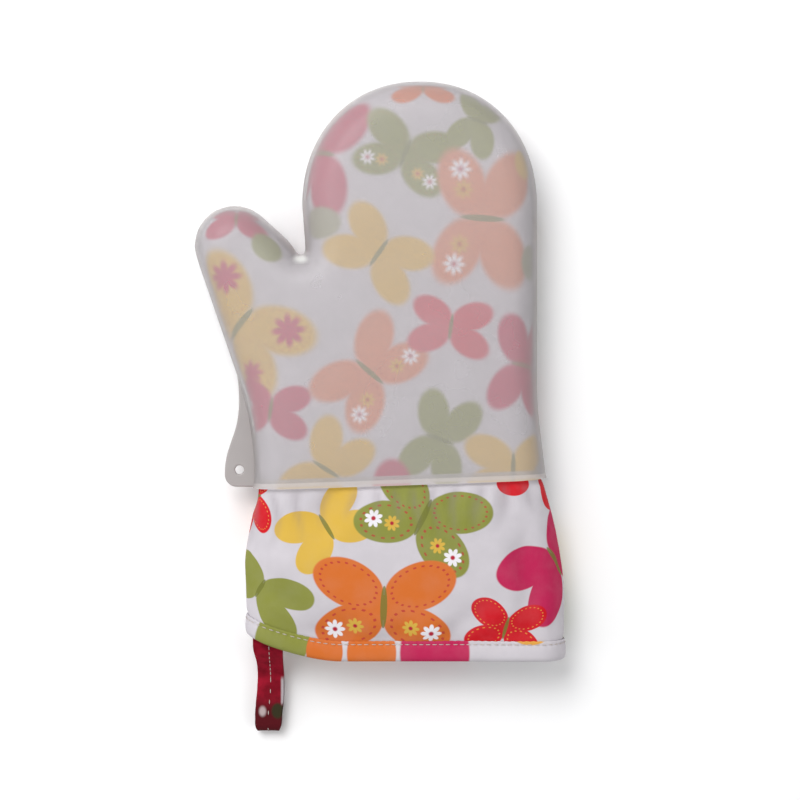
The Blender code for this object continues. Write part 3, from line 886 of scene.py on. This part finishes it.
def map_butterflies(mesh, cloth, tables, over=None):
    """Give each face the local coordinates and inks of its three nearest butterflies, in their listed order.

    cloth is each vertex's place on the flat cloth, in the row frame. With two tables, the faces below the rim
    take their butterflies from the second one, and over says how far each vertex is above the rim."""
    butterflies = [b for table in tables for b in table]
    second = np.arange(len(butterflies)) >= len(tables[0])
    spots = np.array([b[:2] for b in butterflies]) * MM
    turns = np.radians([b[2] for b in butterflies])
    spans = np.array([b[3] for b in butterflies]) * MM
    inks = np.array([(*b[4], b[5]) for b in butterflies])
    loops, owner, sizes = corner_owners(mesh)
    corner = cloth[loops]
    centre = np.stack([np.bincount(owner, corner[:, k]) / sizes for k in range(2)], axis=1)
    far = np.linalg.norm(centre[:, None] - spots[None], axis=2) / spans
    if len(tables) > 1:
        low = np.bincount(owner, (over < TOUCHING / 2)[loops]) / sizes > 0.5
        far[low[:, None] != second[None]] += 1000
    nearest = np.sort(np.argsort(far, axis=1)[:, :len(PRINT_LAYERS)], axis=1)
    for rank, layer in enumerate(PRINT_LAYERS):
        chosen = nearest[:, rank][owner]
        offset = (corner - spots[chosen]) / spans[chosen][:, None]
        c, s = np.cos(turns[chosen]), np.sin(turns[chosen])
        ahead = offset[:, 0] * c + offset[:, 1] * s
        across = offset[:, 0] * s - offset[:, 1] * c
        uv = mesh.uv_layers.new(name=f"motif_{layer}")
        uv.data.foreach_set("uv", np.stack([across, ahead], axis=1).astype(np.float32).ravel())
        ink = mesh.attributes.new(f"ink_{layer}", "FLOAT_COLOR", "CORNER")
        ink.data.foreach_set("color", inks[chosen].astype(np.float32).ravel())


# Pieces

def belongs(side, c):
    """Whether a face whose centre is c belongs to the hand's piece or the thumb's."""
    return is_thumb(c) == (side == "thumb")


def bend_at_fold(item):
    """Bake a thumb piece's transform into its mesh."""
    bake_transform(item)


def place_piece(name, mesh, side, materials):
    """A hand piece rides on the hand; a thumb piece rides on no body and has its transform baked into its mesh.
    """
    item = finish_piece(name, mesh, "hand" if side == "hand" else None, materials)
    if side == "thumb":
        bend_at_fold(item)
    return item


def flat_size(mesh):
    """The area of a sheet's one side, and its width and length over the outline."""
    points = coordinates(mesh)
    width, length, _ = points.max(0) - points.min(0)
    return numbers(mesh.polygons, "area").sum() / 2, width, length


def name_part(item, node):
    """Hide the CAD node that a piece stands for."""
    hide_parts(node)


def make_shell(layers):
    materials = [
        silicone(), clear_silicone("silicone_inside", 0.03, 0.1), clear_silicone("silicone_joint", 0.0, 0.0)
    ]
    pieces = {}
    for side in ("hand", "thumb"):
        mesh, source = layers.take(
            f"shell_{side}", lambda c: over_rim(c.x, c.y) > 0 and belongs(side, c),
            SHELL_OUT, SHELL_WALL, sided=True
        )
        aside, _, up = np.abs(layers.normals[source]).T
        near = np.linalg.norm((layers.points[source][:, :2] - np.array(WEB)) / np.array(WEB_SIZE), axis=1)
        mark_points(mesh, "edge", 1 - smooth(0.0, 0.88, up))
        # side marks the edges that face sideways, which get painted shade
        mark_points(mesh, "side", smooth(0.74, 1.0, aside))
        # web marks the thumb's web, for its painted highlight and its thicker silicone
        mark_points(mesh, "web", (1 - smooth(0.3, 1.0, near)) * smooth(0.1, 0.5, up))
        for face in (f for f in mesh.polygons if f.material_index):
            at = face.center - ORIGIN.to_3d()
            if abs(over_rim(at.x, at.y)) < 0.0006 and abs(face.normal.y) > 0.7:
                face.material_index = 0
            elif min(abs(from_notch(at, cut)) for cut in CUTS) < 0.0003:
                face.material_index = 2 if max(abs(face.normal.dot(cut)) for cut in CUTS) > 0.9 else 1
        pieces[side] = mesh
    hand = new_object("shell_join", pieces["hand"])
    tab = new_object("tab_join", tab_mesh())
    tab.data.materials.append(silicone_tab())
    for material in (*materials, *tab.data.materials):
        hand.data.materials.append(material)
    with bpy.context.temp_override(active_object=hand, selected_editable_objects=[hand, tab]):
        bpy.ops.object.join()
    mesh = hand.data
    bpy.data.objects.remove(hand)
    name_part(finish_piece("frosted_silicone_hand", mesh, "hand", []), "silicone_shell_hand")
    thumb = place_piece("frosted_silicone_thumb", pieces["thumb"], "thumb", materials)
    name_part(thumb, "silicone_shell_thumb")


def tab_mesh():
    """The flat tab beside the rim, with its round hole, its inner side just inside the shell's wall."""
    path = bpy.data.curves.new("tab", "CURVE")
    path.dimensions = "2D"
    path.fill_mode = "BOTH"
    path.extrude = TAB_THICKNESS / 2 - TAB_ROUND
    path.bevel_depth = TAB_ROUND
    path.bevel_resolution = 2
    path.offset = -TAB_ROUND
    corner = Vector((TAB_TIP + TAB_CORNER, TAB_BOTTOM + TAB_CORNER))
    side = Vector((TAB_TIP, corner.y))
    edge = [p for p in mitt_outline() if p.x < -0.07 and TAB_BOTTOM < p.y < TAB_TOP.y]
    inner = [p + Vector((TAB_INSIDE, 0)) for p in edge]
    points = [TAB_TOP]
    leaving, reaching = TAB_TOP + Vector((0.0015, -0.008)), FOLD_FOOT + Vector((0, 0.006))
    points += bezier(TAB_TOP, leaving, reaching, FOLD_FOOT, 8)
    points += bezier(FOLD_FOOT, FOLD_FOOT - Vector((0, 0.018)), side + Vector((0, 0.016)), side, 14)
    points += arc(corner, TAB_CORNER, pi, 1.5 * pi, 10)[1:]
    points += [Vector((inner[-1].x, TAB_BOTTOM))] + inner[::-1]
    for ring in (points, arc(TAB_HOLE, TAB_HOLE_RADIUS, 0, 2 * pi, 24)[:-1]):
        spline = path.splines.new("POLY")
        spline.points.add(len(ring) - 1)
        for knot, p in zip(spline.points, ring):
            knot.co = (p.x, p.y, 0, 1)
        spline.use_cyclic_u = True
    mesh = applied(new_object("tab", path))
    mesh.transform(Matrix.Translation((*ORIGIN, SEAM)))
    shape = shape_of(mesh)
    bmesh.ops.remove_doubles(shape, verts=shape.verts, dist=TOUCHING)
    bmesh.ops.recalc_face_normals(shape, faces=shape.faces)
    return mesh_of(shape, "tab", mesh)


def make_sheets(layers, kind, cotton, material, offset, wall, puffed, butterflies=None):
    """One cloth layer: front and back panels, each in a hand piece and a thumb piece."""
    for face in ("front", "back"):
        for side in ("hand", "thumb"):
            name = f"{cotton}_{face}_{side}"
            mesh, source = layers.take(
                name, lambda c: c.y > CLOTH_END and belongs(side, c) and (c.z > SEAM) == (face == "front"),
                offset, wall, puffed, PRINT_LIFT if butterflies else 0.0
            )
            if butterflies:
                cloth = layers.cloth[source] + np.array(ORIGIN)
                map_butterflies(mesh, cloth, butterflies[face], layers.over[source])
                # How much painted shade each point's crease gets
                mark_points(mesh, "crease_shade", layers.crease_shade[source])
            item = place_piece(name, mesh, side, [material])
            name_part(item, f"{kind}_{face}_{side}")
            if kind == "wadding":
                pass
            else:
                area, width, length = flat_size(mesh)
                width * 1.12
                length * 1.1


def cuff_section(count):
    """Points evenly round the cotton's section at the hem, as x, z and the outward direction's x and z.

    The last two results are each point's distance along the section, and the section's length."""
    turns = np.linspace(-pi / 2, pi / 2, 200)
    reach, rise = COTTON_ROUND * np.cos(turns), COTTON_HALF * np.sin(turns)
    right, left = CUFF_RIGHT - COTTON_ROUND, -CUFF_LEFT + COTTON_ROUND
    flat = np.linspace(right, left, 200)[1:-1]
    x = np.concatenate([right + reach, flat, left - reach[::-1], flat[::-1], [right + reach[0]]])
    level = np.full(198, COTTON_HALF)
    z = SEAM + np.concatenate([rise, level, rise[::-1], -level, rise[:1]])
    run = np.concatenate([[0], np.cumsum(np.hypot(np.diff(x), np.diff(z)))])
    even = np.linspace(0, run[-1], count + 1)[:-1]
    px, pz = np.interp(even, run, x), np.interp(even, run, z)
    tx, tz = np.roll(px, -1) - np.roll(px, 1), np.roll(pz, -1) - np.roll(pz, 1)
    size = np.hypot(tx, tz)
    return px, pz, tz / size, -tx / size, even, run[-1]


def ring_points(section, depth, height):
    """A ring round the cuff at a depth below the cotton's outside and a height over the hem, settled."""
    px, pz, nx, nz = section[:4]
    drawn = np.stack([px, np.zeros_like(px) + height, pz], axis=1)
    outward = np.stack([nx, np.zeros_like(nx), nz], axis=1)
    moved = drawn + settled(drawn) - outward * np.reshape(depth, (-1, 1))
    moved[:, :2] += np.array(ORIGIN)
    return moved


def make_binding():
    """The folded strip round the mouth, drawn in at every stitch, and the two threads that hold it."""
    section = cuff_section(RING_STEPS)
    run, length = section[4:]
    count = round(length / STITCH_PITCH)
    pull = 0.5 + 0.5 * np.cos(2 * pi * run * count / length)
    slow = np.sin(run * 160) * 0.5 + np.sin(run * 71 + 1) * 0.5
    # Depth and height of the strip's section, in millimetres
    profiles = {
        "outside": (
            (-0.30, 9.4), (-0.42, 10.0), (-0.85, 10.15), (-1.15, 9.7), (-1.20, 9.0), (-1.10, 8.4), (-1.35, 7.6),
            (-1.55, 6.2), (-1.60, 4.6), (-1.55, 3.0), (-1.40, 1.6), (-0.95, 0.4), (-0.1, -0.35),
        ),
        "under": ((1.2, -0.6), (2.6, -0.65), (4.2, -0.6), (5.5, -0.3), (6.3, 0.5)),
        "inside": (
            (6.6, 1.8), (6.7, 4.0), (6.6, 6.5), (6.4, 8.4), (6.5, 9.2), (6.3, 9.9), (5.8, 10.0), (5.6, 9.4),
        ),
        "back": (
            (5.6, 8.4), (5.65, 5.0), (5.6, 2.2), (5.0, 1.0), (2.6, 0.5), (0.2, 0.9), (-0.35, 2.2), (-0.45, 5.0),
            (-0.3, 8.4),
        ),
    }
    rings = []
    for part, profile in profiles.items():
        for depth, height in profile:
            near = np.exp(-((height - STITCH_HEIGHT / MM) / 1.6) ** 2)
            if part == "outside":
                depth = depth + 0.30 * pull * near - 0.16 * slow * np.exp(-((height - 5) / 3) ** 2)
                height = height + (height > 9) * (0.22 * pull - 0.10 + 0.15 * slow)
            if part == "inside":
                depth = depth - 0.25 * pull * near
            rings.append(ring_points(section, depth * MM, height * MM))
    mesh = swept("cuff_binding", rings, True)
    map_butterflies(mesh, coordinates(mesh)[:, :2], [BINDING_BUTTERFLIES])
    strip = finish_piece("cuff_binding_strip", mesh, "hand", [printed_cotton("binding_cotton", False)], 60)
    name_part(strip, "cuff_binding")
    length * 1.02
    length * 0.028
    for thread, depth, tuck in (("top", -0.00125, 0.0003), ("bobbin", 0.0067, -0.0003)):
        at = ring_points(section, depth, STITCH_HEIGHT)
        ends = ring_points(section, depth + tuck, STITCH_HEIGHT)
        spots = []
        for k in range(count):
            middle = int(round((k + 0.5) * RING_STEPS / count)) % RING_STEPS
            before, after = (middle - 2) % RING_STEPS, (middle + 2) % RING_STEPS
            spots.append((Vector(at[middle]), Vector(ends[after] - ends[before])))
        stitches(f"cuff_{thread}_stitches", spots, STITCH_LENGTH, "hand", f"binding_{thread}_thread")


def stitches(name, spots, length, body, node):
    """Separate stitches, each a short rounded thread at a place and along a direction."""
    shape = bmesh.new()
    for place, along in spots:
        turn = along.to_track_quat("X", "Z").to_matrix().to_4x4()
        size = Matrix.Diagonal((length / 2, STITCH_RADIUS, STITCH_RADIUS, 1))
        bmesh.ops.create_uvsphere(
            shape, u_segments=8, v_segments=6, radius=1, matrix=Matrix.Translation(place) @ turn @ size
        )
    item = finish_piece(name, mesh_of(shape, name), body, [bpy.data.materials["stitch_thread"]], 80)
    name_part(item, node)
    return item


def spaced(points, pitch):
    """The points of a path that are a pitch or a little more apart, by number."""
    chosen, gone = [], 0.0
    for k in range(1, len(points) - 1):
        gone += (points[k] - points[k - 1]).length
        if gone >= pitch:
            chosen.append(k)
            gone = 0.0
    return chosen


def swept(name, rings, closed):
    """A surface through rings of points; closed joins the last ring to the first."""
    shape = bmesh.new()
    place = shape.verts.layers.int.new("place")
    verts = [shape.verts.new(p) for p in rings[0]]
    for k, vert in enumerate(verts):
        vert[place] = k
    first = [shape.edges.new((verts[k], verts[(k + 1) % len(verts)])) for k in range(len(verts))]
    edges = first
    for ring in rings[1:]:
        made = bmesh.ops.extrude_edge_only(shape, edges=edges)["geom"]
        fresh = {v for v in made if isinstance(v, bmesh.types.BMVert)}
        for vert in fresh:
            vert.co = ring[vert[place]]
        edges = [e for e in made if isinstance(e, bmesh.types.BMEdge) and fresh.issuperset(e.verts)]
    if closed:
        bmesh.ops.bridge_loops(shape, edges=first + edges)
    bmesh.ops.recalc_face_normals(shape, faces=shape.faces)
    return mesh_of(shape, name)


def make_seam_threads():
    """The side seam's stitches between the front and back cloths, in three runs."""
    points = []
    outline = mitt_outline()
    for start, end in zip(outline, outline[1:]):
        steps = max(1, int((end - start).length / 0.0005))
        points += [start.lerp(end, k / steps) for k in range(steps)]
    runs = {"fingers": [], "thumb": [], "wrist": []}
    for k in spaced(points, SEAM_STITCH_PITCH):
        along = (points[k + 1] - points[k - 1]).normalized()
        place = points[k] + Vector((-along.y, along.x)) * (PRINT_DEPTH + SEAM_INSIDE)
        if place.y < 0.004:
            continue
        wrist = place.x < -0.07 and place.y < 0.14
        run = "thumb" if is_thumb(place) else "wrist" if wrist else "fingers"
        drawn = np.array([[*place, SEAM]])
        runs[run].append((Vector((drawn + settled(drawn))[0]) + ORIGIN.to_3d(), along.to_3d()))
    for run, spots in runs.items():
        body = None if run == "thumb" else "hand"
        item = stitches(f"seam_stitches_{run}", spots, SHORT_STITCH, body, f"seam_thread_{run}")
        if run == "thumb":
            bend_at_fold(item)


def strap_path():
    """The middle of the strap in y and z: down the upper leg, round the bend and up the lower leg."""
    root = float(hem_rise(LOOP_CENTRE)) - 0.0015
    low = 0.0002 + LOOP_CLOTH / 2
    bend = Vector((-LOOP_DROP + LOOP_CLOTH / 2 + LOOP_BEND_RADIUS, low + LOOP_BEND_RADIUS))
    legs = []
    for way, fall in ((1, LOOP_FALL), (-1, LOOP_FALL + LOOP_BEND_RADIUS)):
        height = SEAM + way * low
        start, end = Vector((root, height)), Vector((root - fall, bend.y + way * LOOP_BEND_RADIUS))
        handle = Vector((fall * 0.42, 0))
        top = Vector((root + 0.0075, height))
        leg = [top.lerp(start, k / 6) for k in range(7)]
        leg += bezier(start, start - handle, end + handle, end, 24)
        turn = bend + Vector((0, way * LOOP_BEND_RADIUS))
        legs.append(leg + [leg[-1].lerp(turn, k / 4) for k in range(1, 4)])
    return legs[0] + arc(bend, LOOP_BEND_RADIUS, pi / 2, 1.5 * pi, 20) + legs[1][::-1]


def strap_rings(path):
    """Cross-sections of the strap along its path: a flat band with rounded, folded edges."""
    half, thick, fold = LOOP_WIDTH / 2, LOOP_CLOTH / 2, 0.0003
    lower = [
        (-half, -0.4), (-half + fold, -1.0), (-half / 2, -0.82), (0.0, -0.72), (half / 2, -0.82),
        (half - fold, -1.0), (half, -0.4),
    ]
    across = [(u, t * thick) for u, t in lower + [(u, -t) for u, t in lower[::-1]]]
    rings = []
    for k, point in enumerate(path):
        before, after = path[max(k - 1, 0)], path[min(k + 1, len(path) - 1)]
        along = (after - before).normalized()
        normal = Vector((-along.y, along.x))
        lean = (1 - smooth(*LOOP_HANG, point.x)) * LOOP_LEAN
        flare = 0.0012 * smooth(-0.004, 0.006, point.x)
        narrow = 1 - 0.22 * max(0.0, 1 - (point.x + LOOP_DROP) / LOOP_TIP_ROUND) ** 2.5
        width = (1.0 + 0.03 * sin(point.x * 190)) * narrow
        ring = []
        for u, t in across:
            p = point - normal * t
            ring.append((LOOP_X + u * width - lean - flare * (u < 0), p.x + ORIGIN.y, max(p.y, 0.0001)))
        rings.append(ring)
    return rings


def make_loop():
    path = strap_path()
    mesh = swept("hanging_loop_strap", strap_rings(path), False)
    shape = shape_of(mesh)
    bmesh.ops.holes_fill(shape, edges=[e for e in shape.edges if e.is_boundary], sides=0)
    bmesh.ops.recalc_face_normals(shape, faces=shape.faces)
    mesh = mesh_of(shape, "hanging_loop_strap", mesh)
    strap = finish_piece("hanging_loop_strap", mesh, None, [loop_cotton()], 50)
    name_part(strap, "hanging_loop")
    run = sum((b - a).length for a, b in zip(path, path[1:]))
    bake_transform(strap)
    spots = []
    upper = path[6:48]
    for k in spaced(upper, LOOP_STITCH_PITCH):
        before = upper[k - 1]
        along = (upper[k] - before).normalized()
        over = before + Vector((along.y, -along.x)) * (LOOP_CLOTH / 2 - 0.0001)
        lean = (1 - smooth(*LOOP_HANG, before.x)) * LOOP_LEAN
        spots.append((Vector((LOOP_X - lean, over.x + ORIGIN.y, over.y)), Vector((0, *along))))
    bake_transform(stitches("loop_stitches", spots, SHORT_STITCH, None, "loop_topstitch"))


def loop_cotton():
    """The loop's own scrap of the print: mostly dark red, with a few pale and olive places, and painted shade on
    its far end.
    """
    shader = Shader("loop_cotton")
    x, y, z, vector = shader.place()

    def spot(place, squash, radius):
        away = ((x - place[0]) ** 2 + ((y - place[1]) * squash) ** 2) ** 0.5
        return (radius - away).fade(0.0, 0.0016)

    shade = shader.noise(vector, 150.0, 3.0)
    colour = shader.mix(shade.fade(0.3, 0.7), (0.18, 0.004, 0.013), (0.32, 0.008, 0.025))
    # Painted shade: the loop's far end, away from the hem, is made much darker
    colour = shader.mix(y.fade(-0.162, -0.150), (0.085, 0.006, 0.010), colour)
    edge = (x - LOOP_X).fade(0.0050, 0.0060) * y.fade(-0.159, -0.156) * (1.0 - y.fade(-0.145, -0.142))
    places = (
        (edge, (0.42, 0.38, 0.40)),
        (spot((-0.0625, -0.1612), 0.7, 0.0026) * 0.8, (0.52, 0.44, 0.44)),
        (spot((-0.0545, -0.1610), 0.8, 0.0040), (0.035, 0.030, 0.014)),
    )
    for cover, ink in places:
        colour = shader.mix(cover, colour, ink)
    normal = shader.bump(shader.weave(x, y + z), 0.2, 0.0003)
    return shader.set(Base_Color=colour, Roughness=0.86, Normal=normal, Specular_IOR_Level=0.1)


def make_bond(layers):
    adhesive = plain_cloth("clear_adhesive", (0.66, 0.62, 0.60), (0.72, 0.68, 0.66), 900.0, 0.5, 0.1, 0.35)
    mesh, _ = layers.take("rim_adhesive", lambda c: BOND_LOW < over_rim(c.x, c.y) < BOND_HIGH, BOND_OUT, BOND)
    name_part(finish_piece("rim_adhesive", mesh, "hand", [adhesive]), "rim_bond")


# Studio

def area_light(name, place, size, power):
    """A square light that points at the middle of the frame."""
    lamp = bpy.data.lights.new(name, "AREA")
    lamp.shape = "RECTANGLE"
    lamp.size = lamp.size_y = size
    lamp.energy = power
    item = new_object(name, lamp)
    item.location = place
    item.rotation_euler = (-Vector(place)).to_track_quat("-Z", "Y").to_euler()


def studio():
    shader = Shader("studio_floor")
    shader.set(Base_Color=(0.94, 0.94, 0.945), Roughness=0.9, Specular_IOR_Level=0.1)
    shape = bmesh.new()
    bmesh.ops.create_grid(shape, x_segments=1, y_segments=1, size=3.0)
    floor = new_object("studio_floor", mesh_of(shape, "studio_floor"))
    floor.location = (0, 0, -0.0002)
    floor.data.materials.append(shader.material)
    area_light("overhead", (-0.45, 0.75, 1.35), 0.9, 19)
    area_light("left_fill", (-1.3, 0.1, 1.0), 1.2, 6)
    area_light("right_fill", (1.2, -0.5, 1.2), 1.2, 5)
    world = bpy.data.worlds.new("studio_world")
    world.use_nodes = True
    sky = world.node_tree.nodes["Background"].inputs
    sky["Color"].default_value = (1, 1, 1, 1)
    sky["Strength"].default_value = SKY
    bpy.context.scene.world = world
    bpy.context.scene.view_settings.view_transform = "Standard"
    camera = new_object("camera", bpy.data.cameras.new("camera"))
    camera.data.lens = CAMERA_LENS
    camera.data.sensor_width = 36
    camera.location = CAMERA_PLACE
    camera.rotation_euler = (0, 0, 0)
    bpy.context.scene.camera = camera


def make_mitt():
    thread_material()
    layers = Layers(master_surface())
    make_shell(layers)
    make_bond(layers)
    prints = {"front": [FRONT_BUTTERFLIES, CUFF_BUTTERFLIES], "back": [BACK_BUTTERFLIES]}
    printed = printed_cotton("printed_cotton", True)
    make_sheets(layers, "print", "printed_cotton", printed, 0.0, PRINT_CLOTH, 1.0, prints)
    felt = plain_cloth("wadding", (0.74, 0.73, 0.70), (0.80, 0.79, 0.77), 1200.0, 0.95, 0.5)
    make_sheets(layers, "wadding", "wadding_felt", felt, WADDING_IN, WADDING, 0.3)
    lining = plain_cloth("lining_cotton", (0.68, 0.67, 0.66), (0.73, 0.72, 0.71), 6000.0)
    make_sheets(layers, "lining", "lining_cotton", lining, LINING_IN, LINING_CLOTH, 0.3)
    make_seam_threads()
    make_binding()
    make_loop()


make_mitt()
studio()
